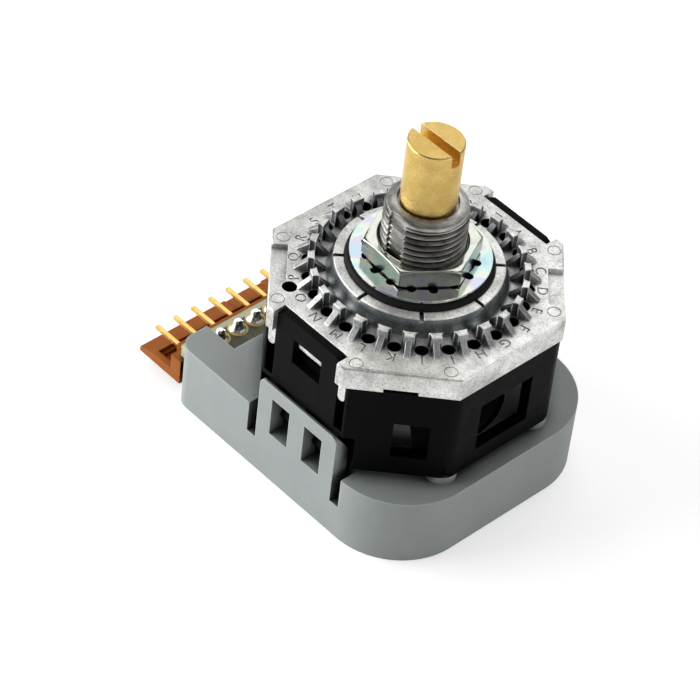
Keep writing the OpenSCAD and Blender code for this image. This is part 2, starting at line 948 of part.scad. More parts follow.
// Clip tab that rises beside the frame, with rounded corners and a lead-in slope at its inner top edge
module clip_tab() {
    corner_r = 0.9;
    intersection() {
        translate([0, -base_y / 2 + base_t, 0])
            rotate([90, 0, 0])
                linear_extrude(base_t)
                    union() {
                        translate([-tab_w / 2, slot_z - over])
                            square([tab_w, tab_top_z - corner_r - slot_z + over]);
                        translate([-tab_w / 2 + corner_r, slot_z])
                            square([tab_w - 2 * corner_r, tab_top_z - slot_z]);
                        for (x = [-1, 1])
                            translate([x * (tab_w / 2 - corner_r), tab_top_z - corner_r])
                                circle(r = corner_r);
                    }
        translate([-tab_w, -base_y / 2, tab_top_z])
            rotate([90, 0, 90])
                linear_extrude(2 * tab_w)
                    polygon([
                        [-over, over], [0.3, 0], [base_t + 0.01, -tab_slope_h],
                        [base_t + over, -tab_slope_h], [base_t + over, -2 * base_h], [-over, -2 * base_h]
                    ]);
    }
}

module base_housing() {
    inner_end = base_end + over;
    color("#9a9c9e")
        difference() {
            union() {
                difference() {
                    translate([0, 0, base_z])
                        linear_extrude(base_h)
                            base_body_outline();
                    translate([0, 0, base_z - over])
                        linear_extrude(board_z - base_z + over)
                            base_outline(base_t, inner_end);
                    translate([0, 0, board_z - over])
                        linear_extrude(roof_under_z - board_z + over)
                            base_outline(base_t + ledge_t, inner_end);
                    both_sides()
                        translate([-bay_w / 2, -base_y / 2 - over, slot_z])
                            cube([bay_w, base_t + over + 0.8, roof_z - slot_z + over]);
                }
                both_sides()
                    clip_tab();
                for (x = [-boss_x, boss_x], y = [-boss_y, boss_y])
                    translate([x, y, roof_z - 0.1])
                        cylinder(r = boss_r, h = boss_h + 0.1);
            }
            both_sides()
                for (x = [-clip_pitch / 2, clip_pitch / 2])
                    translate([x - clip_w / 2, -base_y / 2 - over, clip_z])
                        cube([clip_w, base_t + 2 * over, clip_h]);
            rod(rotor_bore_r, roof_under_z - over, roof_t + 2 * over);
            translate([-base_end - over, -roof_notch_y / 2, board_z - over])
                cube([roof_notch_x + over, roof_notch_y, board_drop + 2 * over]);
            for (side = [-1, 1])
                translate([-pin_x - solder_r - 0.3, side * pin_row / 2 - solder_r - 0.3, board_z - over])
                    cube([2 * solder_r + 0.6, 2 * solder_r + 0.6, solder_h + over + 0.15]);
        }
}

module bottom_cover() {
    color("#8f9193")
        difference() {
            union() {
                translate([0, 0, base_z])
                    linear_extrude(cover_t)
                        base_outline(base_t + fit, base_end);
                rod(pivot_r, base_z + 0.1, cover_t - 0.1 + pivot_h);
                for (x = [-12, 9], y = [-9.5, 9.5])
                    translate([x, y, base_z + 0.1])
                        cylinder(r = prop_r, h = board_under_z - base_z - 0.1);
            }
            rod(pivot_bore_r, cover_z + 0.35, pivot_h + over);
        }
}

module circuit_board() {
    color("#8c9a80")
        translate([0, 0, board_under_z])
            difference() {
                linear_extrude(board_t)
                    union() {
                        base_outline(base_t + fit, base_end + board_out);
                        translate([-base_end - board_out, -board_lip_y])
                            square([board_out - fit, 2 * board_lip_y]);
                    }
                rod(pivot_r + 0.4, -over, board_t + 2 * over);
                for (i = [0 : pins - 1])
                    translate([-pin_x, i * pin_pitch - pin_row / 2, -over])
                        cylinder(r = pin_hole_r, h = board_t + 2 * over);
            }
}

// Gold code tracks: one common ring, then rings in 2, 4 and 8 pieces
module code_tracks() {
    color("gold")
        for (i = [0 : tracks - 1]) {
            r = track_r + i * track_pitch - track_w / 2;
            pieces = pow(2, i);
            sweep = i == 0 ? 360 : 180 / pieces;
            for (k = [0 : pieces - 1])
                translate([0, 0, board_z])
                    rotate([0, 0, k * 360 / pieces])
                        rotate_extrude(angle = sweep)
                            translate([r, 0])
                                square([track_w, track_t]);
        }
}

module pin_holes_in_header() {
    hole_w = pin_w + 0.02;
    for (i = [0 : pins - 1])
        translate([-lock_reach - over, i * pin_pitch - pin_row / 2 - hole_w / 2, pin_z - hole_w / 2])
            cube([lock_reach - base_end + 2 * over, hole_w, hole_w]);
}

// Lock plate below the pins: a slope up to a ridge, then a channel along the body
module lock_plate() {
    ridge_x = channel_x + 0.1;
    pocket_mid_y = header_y / 2 - lock_rim_t - lock_pocket_y / 2;
    difference() {
        union() {
            translate([0, header_y / 2, header_z])
                rotate([90, 0, 0])
                    linear_extrude(header_y)
                        polygon([
                            [-lock_reach, 0],
                            [-lock_reach, lock_edge_t],
                            [-ridge_x, lock_t],
                            [-channel_x, lock_t],
                            [-channel_x, channel_z],
                            [-header_face - 0.1, channel_z],
                            [-header_face - 0.1, 0]
                        ]);
            for (y = [-header_y / 2, header_y / 2 - lock_rim_t])
                translate([-ridge_x, y, header_z])
                    cube([ridge_x - header_face - 0.1, lock_rim_t, lock_t]);
        }
        for (side = [-1, 1]) {
            translate([0, side * lock_groove_y + lock_groove_w / 2, header_z - lock_groove_depth])
                rotate([90, 0, 0])
                    linear_extrude(lock_groove_w)
                        polygon([
                            [-lock_reach - over, lock_edge_t],
                            [-lock_reach, lock_edge_t],
                            [-ridge_x, lock_t],
                            [-ridge_x, lock_t + over],
                            [-lock_reach - over, lock_t + over]
                        ]);
            translate([-body_out - lock_pocket_x, side * pocket_mid_y - lock_pocket_y / 2, header_z + 0.3])
                cube([lock_pocket_x, lock_pocket_y, over]);
        }
    }
}

// Right-angle connector body under the board's edge, set back at its ends, with its lock plate
module connector_header() {
    body_h = header_top_z - header_z;
    color("#a8571c")
        difference() {
            union() {
                translate([-body_out, body_step_y - header_y / 2, header_z])
                    cube([header_x, header_y - 2 * body_step_y, body_h]);
                translate([body_step_x - body_out, -header_y / 2, header_z])
                    cube([header_x - body_step_x, header_y, body_h]);
                lock_plate();
            }
            pin_holes_in_header();
        }
}

// Square pins, bent up through the board, with rounded tips
module connector_pins() {
    tip_r = pin_w / 2;
    color("goldenrod")
        for (i = [0 : pins - 1])
            translate([0, i * pin_pitch - pin_row / 2 - pin_w / 2, 0]) {
                translate([-pin_reach + tip_r, 0, pin_z - tip_r])
                    cube([pin_reach - tip_r - pin_x + tip_r, pin_w, pin_w]);
                translate([-pin_reach + tip_r, pin_w, pin_z])
                    rotate([90, 0, 0])
                        cylinder(r = tip_r, h = pin_w, $fn = 24);
                translate([-pin_x - tip_r, 0, pin_z - tip_r])
                    cube([pin_w, pin_w, pin_top_z - pin_z + tip_r]);
            }
}

// Solder joints on top of the board: a wide foot and a rounded cap over the end of the pin
module solder_joints() {
    cap_r = 0.5;
    color("lightgray")
        for (i = [0 : pins - 1])
            translate([-pin_x, i * pin_pitch - pin_row / 2, board_z])
                difference() {
                    rotate_extrude()
                        polygon([
                            [0, 0],
                            [solder_r, 0],
                            [solder_r, 0.1],
                            [solder_r - 0.2, 0.35],
                            [cap_r + 0.1, 0.7],
                            [cap_r, solder_h - 0.25],
                            [cap_r - 0.2, solder_h - 0.05],
                            [0, solder_h]
                        ]);
                    centred_box(pin_w + 0.02, pin_w + 0.02, -over, pin_top_z - board_z + over + 0.01);
                }
}

head_casting();
hex_nut();
lock_washer();
panel_seal();
shaft();
shaft_seal();
drive_spindle();
retaining_ring();
thrust_washer();
stop_arm();
detent_wheel();
detent_ball_front();
detent_ball_rear();
detent_spring_front();
detent_spring_rear();
switch_frame();
code_rotor();
contact_brushes();
circuit_board();
code_tracks();
base_housing();
bottom_cover();
connector_header();
connector_pins();
solder_joints();
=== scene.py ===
import json
import math

import bpy
from mathutils import Matrix, Vector


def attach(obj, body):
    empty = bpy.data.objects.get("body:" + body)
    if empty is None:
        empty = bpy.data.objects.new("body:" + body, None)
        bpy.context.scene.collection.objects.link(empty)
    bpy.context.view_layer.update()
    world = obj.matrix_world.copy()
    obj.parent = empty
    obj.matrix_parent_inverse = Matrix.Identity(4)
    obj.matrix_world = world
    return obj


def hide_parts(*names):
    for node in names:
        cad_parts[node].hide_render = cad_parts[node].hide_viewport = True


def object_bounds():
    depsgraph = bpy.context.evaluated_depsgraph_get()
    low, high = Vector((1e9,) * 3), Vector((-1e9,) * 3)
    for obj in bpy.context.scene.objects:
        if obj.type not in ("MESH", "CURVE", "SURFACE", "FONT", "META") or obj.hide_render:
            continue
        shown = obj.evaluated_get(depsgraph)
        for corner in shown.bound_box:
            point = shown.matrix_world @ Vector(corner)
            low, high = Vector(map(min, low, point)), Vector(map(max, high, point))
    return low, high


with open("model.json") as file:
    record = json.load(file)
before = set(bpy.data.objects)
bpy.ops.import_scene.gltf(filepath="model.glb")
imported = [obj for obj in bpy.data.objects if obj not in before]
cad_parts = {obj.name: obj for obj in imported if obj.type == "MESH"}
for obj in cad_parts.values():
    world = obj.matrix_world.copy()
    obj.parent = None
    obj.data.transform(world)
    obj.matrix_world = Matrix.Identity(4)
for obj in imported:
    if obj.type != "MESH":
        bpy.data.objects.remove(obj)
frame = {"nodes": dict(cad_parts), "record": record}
nodes = frame["nodes"]
cad_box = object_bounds()

# Lengths are in millimetres, unless a name or a note says metres, and angles in degrees. Places are
# measured from the shaft's axis and from the top face of the head's plate.
MM = 0.001


def extent(node, axis):
    """The lowest and the highest place of a CAD node along an axis."""
    places = [corner[axis] / MM for corner in nodes[node].bound_box]
    return min(places), max(places)


# Camera, worked out from the round, hexagonal and octagonal outlines in the photo
CAMERA_BACK = (0.49291, -0.55927, 0.66653)
CAMERA_RIGHT = (0.68192, 0.72410, 0.10328)
CAMERA_DISTANCE = 344.23
CAMERA_NEAREST_M = 0.01
CAMERA_FARTHEST_M = 10
LENS = 170.29
SENSOR_WIDTH = 36
LENS_SHIFT_X = -0.0973
LENS_SHIFT_Y = -0.1086

# Light and paper
ROOM_LIGHT = 0.18
LAMP_AIM_Z = -5
PAPER_SIDE_M = 3
PAPER_GAP = 0.02
PAPER_TONE = 0.78
PAPER_GLOW = 0.48
PAPER_SHEEN = 0.22

# Plate of the head, and the circle of stop-pin holes in it
plate_half_x = extent("head_casting", 0)[1]
plate_half_y = extent("head_casting", 1)[1]
PLATE_CORNER_X = 5.8
PLATE_CORNER_Y = 7.4
stop_pins = next(mount["dims"] for mount in frame["record"]["mounts"] if mount["name"] == "stop_pin_holes")
positions = stop_pins["count"]
hole_r = stop_pins["hole_r_mm"]
hole_circle_r = stop_pins["pcd_mm"] / 2
SINGLE_HOLE_X = -6.6
SINGLE_HOLE_Y = -12.04
SINGLE_HOLE_R = 0.82

# Where painted shade darkens the seal ring's outer wall and the guide posts' sides
RING_R = 9
RING_FOOT_R = 9.6
RING_SHADE_TOP = 1.86
POSTS_FROM_R = 9.8
POSTS_TO_R = 13.2
POSTS_SHADE_FROM = 0.08
POSTS_SHADE_TO = 1.82

# Bushing and its thread
THREAD_CREST_R = 4.5
THREAD_ROOT_R = 4.05
THREAD_PITCH = 0.75
THREAD_FROM = 2.4
THREAD_TO = 9.6
THREAD_STEPS = 64
KEYWAY_HALF_W = 1.1

# Letters of the positions
LETTER_CIRCLE_R = 13.0
LETTER_SIZE = 1.66
LETTER_DEPTH = 0.13
LETTER_AT_X_AXIS = ord("G") - ord("A")

# Lock washer
WASHER_TEETH = 16

# Upright outer corners of the black frame
FRAME_CORNER_PAST_X = 14.3
FRAME_CORNER_FROM_Y = 7.1
FRAME_CORNER_TO_Y = 7.6
FRAME_CORNER_LEAST_H = 2

# Painted light: the light sector of the code rotor
SECTOR_FROM = -80
SECTOR_TO = -37.5
SECTOR_BRIGHT_R = 7.9
SECTOR_END_R = 9.3

# Edges and faces of a finished piece that meet at less than this are shaded as one
SMOOTH_BELOW = 32

# Solder joints and connector
joint_x = sum(extent("solder_joints", 0)) / 2
PIN_PITCH = 2.54

# Where a noise texture's values mostly lie
NOISE_LOW = 0.3
NOISE_HIGH = 0.7

# How near a point has to lie to a face or edge to count as on it
ON_FACE = 0.01


# Camera
def set_up_camera():
    """The photo's viewpoint: high at the front right corner, a long lens, a little roll."""
    back = Vector(CAMERA_BACK).normalized()
    right = Vector(CAMERA_RIGHT).normalized()
    up = back.cross(right)
    right = up.cross(back)
    bpy.ops.object.camera_add(location=(0, 0, 0))
    camera = bpy.context.active_object
    camera.name = "photo_camera"
    axes = Matrix((right, up, back)).transposed().to_4x4()
    camera.matrix_world = Matrix.Translation(back * CAMERA_DISTANCE * MM) @ axes
    camera.data.lens = LENS
    camera.data.sensor_width = SENSOR_WIDTH
    camera.data.shift_x = LENS_SHIFT_X
    camera.data.shift_y = LENS_SHIFT_Y
    camera.data.clip_start = CAMERA_NEAREST_M
    camera.data.clip_end = CAMERA_FARTHEST_M
    bpy.context.scene.camera = camera


# Materials
class Finish:
    """A material made from nodes, read in the coordinates of the object."""

    def __init__(self, name):
        self.material = bpy.data.materials.new(name)
        self.material.use_nodes = True
        self.tree = self.material.node_tree
        self.shader = self.tree.nodes["Principled BSDF"]
        self.place = self.add("ShaderNodeTexCoord").outputs["Object"]
        split = self.add("ShaderNodeSeparateXYZ")
        self.link(self.place, split.inputs["Vector"])
        self.across, self.along, self.height = (split.outputs[axis] for axis in "XYZ")

    def add(self, kind, **settings):
        node = self.tree.nodes.new(kind)
        for key, value in settings.items():
            setattr(node, key, value)
        return node

    def link(self, source, target):
        self.tree.links.new(source, target)

    def fixed(self, **values):
        """Numbers that are the same all over the piece."""
        for key, value in values.items():
            self.shader.inputs[key.replace("_", " ")].default_value = value

    def give(self, value, socket):
        """Puts a number, a colour or another node's output into a socket."""
        if isinstance(value, tuple):
            socket.default_value = (*value, 1)
        elif isinstance(value, (int, float)):
            socket.default_value = value
        else:
            self.link(value, socket)

    def grain(self, size, detail=4.0, rough=0.55, stretch=None):
        """Noise whose cells are about the given size; a small stretch draws them out along an axis."""
        node = self.add("ShaderNodeTexNoise")
        self.give(1.0 / (size * MM), node.inputs["Scale"])
        self.give(detail, node.inputs["Detail"])
        self.give(rough, node.inputs["Roughness"])
        place = self.place
        if stretch:
            mapping = self.add("ShaderNodeMapping")
            mapping.inputs["Scale"].default_value = stretch
            self.link(place, mapping.inputs["Vector"])
            place = mapping.outputs["Vector"]
        self.link(place, node.inputs["Vector"])
        return node.outputs["Fac"]

    def ramp(self, value, *stops):
        """Colours at given values, with a smooth change between them."""
        node = self.add("ShaderNodeValToRGB")
        while len(node.color_ramp.elements) < len(stops):
            node.color_ramp.elements.new(0.5)
        for element, (at, color) in zip(node.color_ramp.elements, stops):
            element.position = at
            element.color = (*color, 1)
        self.link(value, node.inputs["Fac"])
        return node.outputs["Color"]

    def two_tone(self, noise, low, high):
        return self.ramp(noise, (NOISE_LOW, low), (NOISE_HIGH, high))

    def ranged(self, value, low, high, out_low, out_high):
        """Goes from one number to another while the value goes from low to high."""
        node = self.add("ShaderNodeMapRange")
        names = ("From Min", "From Max", "To Min", "To Max")
        for name, number in zip(names, (low, high, out_low, out_high)):
            self.give(number, node.inputs[name])
        self.link(value, node.inputs["Value"])
        return node.outputs["Result"]

    def varied(self, noise, low, high):
        return self.ranged(noise, NOISE_LOW, NOISE_HIGH, low, high)

    def fade(self, length, start, end, before, after):
        """Goes from one number to another while a length goes from start to end."""
        return self.ranged(length, start * MM, end * MM, before, after)

    def maths(self, operation, *values):
        node = self.add("ShaderNodeMath", operation=operation)
        for value, socket in zip(values, node.inputs):
            self.give(value, socket)
        return node.outputs["Value"]

    def product(self, first, *others):
        for other in others:
            first = self.maths("MULTIPLY", first, other)
        return first

    def largest(self, first, *others):
        for other in others:
            first = self.maths("MAXIMUM", first, other)
        return first

    def distance(self, first, second):
        """How far away a point is that lies this far off in two directions at right angles."""
        squares = self.maths("ADD", self.product(first, first), self.product(second, second))
        return self.maths("SQRT", squares)

    def blend(self, kind, share, first, second):
        node = self.add("ShaderNodeMix", data_type="RGBA", blend_type=kind)
        self.give(share, node.inputs["Factor"])
        self.give(first, node.inputs[6])
        self.give(second, node.inputs[7])
        return node.outputs[2]

    def mixed(self, share, first, second):
        return self.blend("MIX", share, first, second)

    def multiplied(self, share, first, second):
        return self.blend("MULTIPLY", share, first, second)

    def radius(self):
        """Distance from the shaft's axis."""
        return self.distance(self.across, self.along)

    def far_from(self, x, y):
        """Distance, seen from above, from an upright axis."""
        return self.distance(self.maths("SUBTRACT", self.across, x * MM),
                             self.maths("SUBTRACT", self.along, y * MM))

    def far_from_holes(self, radius):
        """Distance, seen from above, from the nearest of the stop-pin holes."""
        half_step = math.pi / positions
        turn = self.maths("WRAP", self.maths("ARCTAN2", self.along, self.across), half_step, -half_step)
        reach = self.product(radius, self.maths("COSINE", turn))
        out = self.maths("SUBTRACT", reach, hole_circle_r * MM)
        return self.distance(out, self.product(radius, self.maths("SINE", turn)))

    def recesses(self, reach, neighbours=False):
        """How open the surface is: near 0 deep in a recess, 1 on open faces."""
        node = self.add("ShaderNodeAmbientOcclusion", samples=8, only_local=not neighbours)
        self.give(reach * MM, node.inputs["Distance"])
        return node.outputs["AO"]

    def rounded_normal(self, width, samples):
        """The normal that the surface would have if its edges were rounded."""
        soft = self.add("ShaderNodeBevel", samples=samples)
        self.give(width * MM, soft.inputs["Radius"])
        return soft.outputs["Normal"]

    def outer_edges(self, width, open_share):
        """1 along the outer edges of the piece, 0 on its faces and in its corners."""
        alike = self.add("ShaderNodeVectorMath", operation="DOT_PRODUCT")
        self.link(self.rounded_normal(width, 6), alike.inputs[0])
        self.link(self.add("ShaderNodeNewGeometry").outputs["Normal"], alike.inputs[1])
        on_edge = self.ranged(alike.outputs["Value"], 0.99, 0.9, 0, 1)
        return self.product(on_edge, self.ranged(open_share, 0.7, 0.9, 0, 1))

    def faces_up(self):
        """1 on level faces, 0 on upright ones."""
        normal = self.add("ShaderNodeSeparateXYZ")
        self.link(self.add("ShaderNodeNewGeometry").outputs["Normal"], normal.inputs["Vector"])
        return self.maths("ABSOLUTE", normal.outputs["Z"])

    def relief(self, height, depth, strength=1.0, edge=0.0):
        """A fine unevenness of the surface, and edges that catch the light as if rounded."""
        bump = self.add("ShaderNodeBump")
        self.give(strength, bump.inputs["Strength"])
        self.give(depth * MM, bump.inputs["Distance"])
        self.link(height, bump.inputs["Height"])
        if edge:
            self.link(self.rounded_normal(edge, 4), bump.inputs["Normal"])
        self.link(bump.outputs["Normal"], self.shader.inputs["Normal"])

    def color(self, source):
        self.link(source, self.shader.inputs["Base Color"])

    def roughness(self, source):
        self.link(source, self.shader.inputs["Roughness"])


# Finish of the casting
def mottled_zinc(f, radius, open_share):
    """Pale zinc with patches and specks, with painted shade in its recesses and a painted light gradient
    that makes it a little darker towards -X.
    """
    patches = f.ramp(f.grain(2.6, 5, 0.62),
                     (0.32, (0.5, 0.5, 0.48)), (0.5, (0.74, 0.74, 0.715)), (0.66, (0.92, 0.92, 0.895)))
    specks = f.ramp(f.grain(0.26, 4, 0.75), (0.36, (0.35, 0.35, 0.355)), (0.52, (1, 1, 1)))
    cast = f.multiplied(0.55, patches, specks)
    # Painted light: a brightness gradient along X, darker towards -X and lighter towards +X.
    cast = f.multiplied(1.0, cast, f.fade(f.across, -14, 14, 0.8, 1.08))
    # Painted shade: the casting is darkened where it is enclosed, in its recesses and crevices, less so
    # beyond 12.3 mm from the axis.
    painted_recess_shade = f.ramp(open_share, (0.3, (0.07, 0.075, 0.075)), (0.62, (0.38, 0.39, 0.39)), (0.94, (1, 1, 1)))
    return f.multiplied(f.fade(radius, 12.3, 12.6, 1, 0.45), cast, painted_recess_shade)


def shaded_places(f, radius):
    """Painted shade: dark holes, a dark outer wall of the seal ring and dark sides of the posts."""
    height = f.height
    to_hole = f.far_from_holes(radius)
    in_hole = f.fade(to_hole, hole_r + 0.04, hole_r + 0.1, 0.1, 1)
    on_flank = f.largest(f.fade(to_hole, hole_r + 0.17, hole_r + 0.23, 0.2, 1),
                         f.fade(height, 0.15, 0.06, 0, 1))
    to_single_hole = f.far_from(SINGLE_HOLE_X, SINGLE_HOLE_Y)
    in_single_hole = f.largest(f.fade(to_single_hole, SINGLE_HOLE_R + 0.02, SINGLE_HOLE_R + 0.08, 0.08, 1),
                               f.fade(height, -0.08, -0.02, 0, 1))
    off_ring_wall = f.largest(f.fade(radius, RING_R, RING_R - 0.04, 0, 1),
                              f.fade(radius, RING_FOOT_R, RING_FOOT_R + 0.2, 0, 1),
                              f.fade(height, RING_SHADE_TOP - 0.08, RING_SHADE_TOP, 0, 1))
    off_posts = f.largest(f.fade(radius, POSTS_FROM_R, POSTS_FROM_R - 0.1, 0, 1),
                          f.fade(radius, POSTS_TO_R, POSTS_TO_R + 0.1, 0, 1),
                          f.fade(height, POSTS_SHADE_FROM + 0.12, POSTS_SHADE_FROM, 0, 1),
                          f.fade(height, POSTS_SHADE_TO - 0.08, POSTS_SHADE_TO, 0, 1))
    walls = f.product(f.ranged(off_ring_wall, 0, 1, 0.42, 1), f.ranged(off_posts, 0, 1, 0.58, 1))
    shade = f.product(in_hole, on_flank, in_single_hole, walls)
    return f.ramp(shade, (0.0, (0.02, 0.022, 0.022)), (0.42, (0.39, 0.42, 0.44)), (1.0, (1, 1, 1)))


def turned_zinc(f, radius):
    """The bushing: turned streaks round it, and painted shade in the roots of the thread outside the
    keyway.
    """
    streaks = f.ramp(f.grain(1.2, 4, 0.6, (0.35, 0.35, 1.6)),
                     (0.35, (0.13, 0.118, 0.112)), (0.5, (0.34, 0.33, 0.31)), (0.66, (0.6, 0.59, 0.57)))
    aside = f.maths("ABSOLUTE", f.across)
    keyway = f.product(f.fade(aside, KEYWAY_HALF_W - 0.04, KEYWAY_HALF_W + 0.04, 1, 0),
                       f.fade(f.along, -3, -3.2, 0, 1))
    plain = f.largest(keyway, f.fade(f.height, THREAD_TO - 0.2, THREAD_TO, 0, 1))
    # Painted shade: the thread's roots are darkened, except in the keyway and above the thread.
    return f.multiplied(1.0, streaks, f.largest(f.fade(radius, 4.15, 4.45, 0.08, 1), plain))


def zinc_casting():
    """Die-cast zinc, pale and mottled, with painted shade in its recesses, holes and walls, a painted light
    gradient along X, painted highlights on its edges, and a darker turned and threaded bushing.
    """
    f = Finish("zinc_casting")
    f.fixed(Metallic=0.9)
    radius = f.radius()
    open_share = f.recesses(1.6)
    cast = mottled_zinc(f, radius, open_share)
    cast = f.multiplied(1.0, cast, shaded_places(f, radius))
    # Painted highlight: the outer edges are mixed towards a near-white zinc colour.
    cast = f.mixed(f.product(f.outer_edges(0.16, open_share), 0.7), cast, (0.93, 0.93, 0.92))
    on_bushing = f.product(f.fade(radius, 4.7, 4.6, 0, 1), f.fade(f.height, 2.4, 2.8, 0, 1))
    f.color(f.mixed(on_bushing, cast, turned_zinc(f, radius)))
    rough = f.add("ShaderNodeMix", data_type="FLOAT")
    f.give(on_bushing, rough.inputs[0])
    f.give(f.varied(f.grain(0.9, 4, 0.6), 0.36, 0.58), rough.inputs[2])
    f.give(0.34, rough.inputs[3])
    f.roughness(rough.outputs[0])
    f.relief(f.grain(0.22, 4, 0.6), 0.014, 0.9, 0.12)
    return f.material


def zinc_edges():
    """The casting's rounded edges, painted brighter than its faces as a highlight."""
    f = Finish("zinc_casting_edges")
    f.fixed(Metallic=0.9)
    f.color(f.ramp(f.grain(0.6, 4, 0.6), (0.3, (0.74, 0.74, 0.735)), (0.6, (0.92, 0.92, 0.915))))
    f.roughness(f.varied(f.grain(0.4, 4, 0.6), 0.3, 0.5))
    f.relief(f.grain(0.2, 3, 0.6), 0.006, 0.6)
    return f.material


# Finishes of the other metal pieces
def nut_plating():
    """Bright plating, warm and a little green, rougher on the sides, which also carry painted shade, with a
    painted shadow line along the foot.
    """
    f = Finish("nickel_plate")
    f.fixed(Metallic=1.0)
    plating = f.ramp(f.grain(2.2, 2, 0.5),
                     (0.3, (0.5, 0.56, 0.5)), (0.5, (0.66, 0.66, 0.58)), (0.7, (0.57, 0.62, 0.6)))
    faces_up = f.faces_up()
    # Painted shade: the upright sides are darker than the top faces.
    plating = f.multiplied(1.0, plating, f.ranged(faces_up, 0.3, 0.9, 0.62, 1))
    # Painted shadow: a dark line along the nut's foot, where it sits on the washer.
    foot = extent("hex_nut", 2)[0]
    f.color(f.multiplied(1.0, plating, f.fade(f.height, foot + 0.12, foot + 0.3, 0.12, 1)))
    rough = f.varied(f.grain(0.5, 4, 0.6), 0.07, 0.13)
    f.roughness(f.maths("ADD", rough, f.ranged(faces_up, 0.3, 0.9, 0.14, 0)))
    f.relief(f.grain(0.12, 3, 0.5, (1, 1, 0.15)), 0.004, 0.6, 0.1)
    return f.material


def washer_plating():
    """Zinc plating that shimmers from blue to green and lilac."""
    f = Finish("zinc_plate")
    f.fixed(Metallic=1.0)
    f.color(f.ramp(f.grain(3.4, 2, 0.5),
                   (0.3, (0.42, 0.56, 0.64)), (0.42, (0.5, 0.68, 0.66)), (0.52, (0.66, 0.69, 0.6)),
                   (0.6, (0.58, 0.55, 0.66)), (0.72, (0.46, 0.6, 0.68))))
    f.roughness(f.varied(f.grain(0.4, 4, 0.6), 0.08, 0.14))
    f.relief(f.grain(0.15, 3, 0.5), 0.003, 0.4, 0.06)
    return f.material


def turned_brass():
    """Brass with fine turning marks round the shaft and on its end, its end face darkened as painted shade,
    and painted highlights on its edges.
    """
    f = Finish("brass")
    f.fixed(Metallic=1.0)
    body = f.two_tone(f.grain(1.6, 4, 0.6), (0.64, 0.43, 0.12), (0.78, 0.56, 0.2))
    specks = f.ramp(f.grain(0.16, 4, 0.75), (0.36, (0.55, 0.5, 0.4)), (0.52, (1, 1, 1)))
    body = f.multiplied(0.5, body, specks)
    end = extent("shaft", 2)[1]
    # Painted shade: the end face is darkened, and the side below it made a little lighter.
    body = f.multiplied(1.0, body, f.fade(f.height, end - 0.15, end - 0.03, 1.06, 0.85))
    # Painted highlight: the outer edges are mixed towards pale brass.
    edges = f.product(f.outer_edges(0.12, f.recesses(1.0)), 0.8)
    f.color(f.mixed(edges, body, (0.98, 0.8, 0.42)))
    f.roughness(f.varied(f.grain(0.4, 4, 0.6), 0.26, 0.42))
    marks = f.add("ShaderNodeTexNoise", noise_dimensions="1D")
    f.give(1.0 / (0.07 * MM), marks.inputs["Scale"])
    f.give(2, marks.inputs["Detail"])
    f.link(f.maths("ADD", f.radius(), f.height), marks.inputs["W"])
    f.relief(f.maths("ADD", marks.outputs["Fac"], f.product(f.grain(0.2), 0.3)), 0.005, 0.6, 0.06)
    return f.material


def contact_gold():
    """Gold plating of the pins, brushes and tracks."""
    f = Finish("contact_gold")
    f.fixed(Metallic=1.0)
    f.color(f.two_tone(f.grain(0.8, 3, 0.5), (0.82, 0.5, 0.13), (0.92, 0.63, 0.22)))
    f.roughness(f.varied(f.grain(0.3, 3, 0.6), 0.24, 0.36))
    f.relief(f.grain(0.2, 3, 0.5), 0.001, 0.4)
    return f.material


def spring_steel():
    """Polished steel, with marks drawn out along its height."""
    f = Finish("spring_steel")
    f.fixed(Metallic=1.0)
    f.color(f.two_tone(f.grain(0.9, 3, 0.5), (0.5, 0.5, 0.5), (0.66, 0.66, 0.67)))
    f.roughness(f.varied(f.grain(0.3, 3, 0.6, (1, 1, 0.1)), 0.2, 0.34))
    f.relief(f.grain(0.1, 3, 0.5, (1, 1, 0.1)), 0.003, 0.5, 0.05)
    return f.material


def solder_metal():
    """Bright flowed solder."""
    f = Finish("solder")
    f.fixed(Metallic=1.0)
    f.color(f.two_tone(f.grain(0.5, 3, 0.5), (0.74, 0.74, 0.71), (0.92, 0.92, 0.9)))
    f.roughness(f.varied(f.grain(0.3, 3, 0.6), 0.14, 0.26))
    f.relief(f.grain(0.6, 2, 0.5), 0.012, 0.5)
    return f.material


# Finishes of rubber, board and plastics
def black_rubber():
    """Matte black rubber of the panel seal and of the shaft's seal ring."""
    f = Finish("rubber_black")
    f.fixed(Specular_IOR_Level=0.12)
    f.color(f.two_tone(f.grain(0.5, 4, 0.6), (0.004, 0.004, 0.004), (0.01, 0.0095, 0.009)))
    f.roughness(f.varied(f.grain(0.2, 3, 0.6), 0.55, 0.72))
    f.relief(f.grain(0.12, 4, 0.6), 0.008, 0.6, 0.1)
    return f.material


def board_laminate():
    """Lacquered laminate, pale along its edge and dark between the gilt pads of the solder joints."""
    f = Finish("board_green")
    f.fixed(Specular_IOR_Level=0.3)
    weave = f.two_tone(f.grain(0.5, 3, 0.6), (0.36, 0.38, 0.25), (0.47, 0.49, 0.33))
    lacquer = f.two_tone(f.grain(1.2, 4, 0.6), (0.035, 0.037, 0.012), (0.09, 0.085, 0.035))
    board = f.mixed(f.fade(f.across, joint_x - 1.1, joint_x - 0.9, 0, 1), weave, lacquer)
    aside = f.maths("WRAP", f.along, PIN_PITCH / 2 * MM, -PIN_PITCH / 2 * MM)
    to_joint = f.distance(f.maths("SUBTRACT", f.across, joint_x * MM), aside)
    f.color(f.mixed(f.fade(to_joint, 1.2, 1.12, 0, 1), board, (0.62, 0.42, 0.12)))
    f.roughness(f.varied(f.grain(0.7, 4, 0.6), 0.16, 0.3))
    f.relief(f.grain(0.3, 3, 0.6), 0.004, 0.6, 0.1)
    return f.material


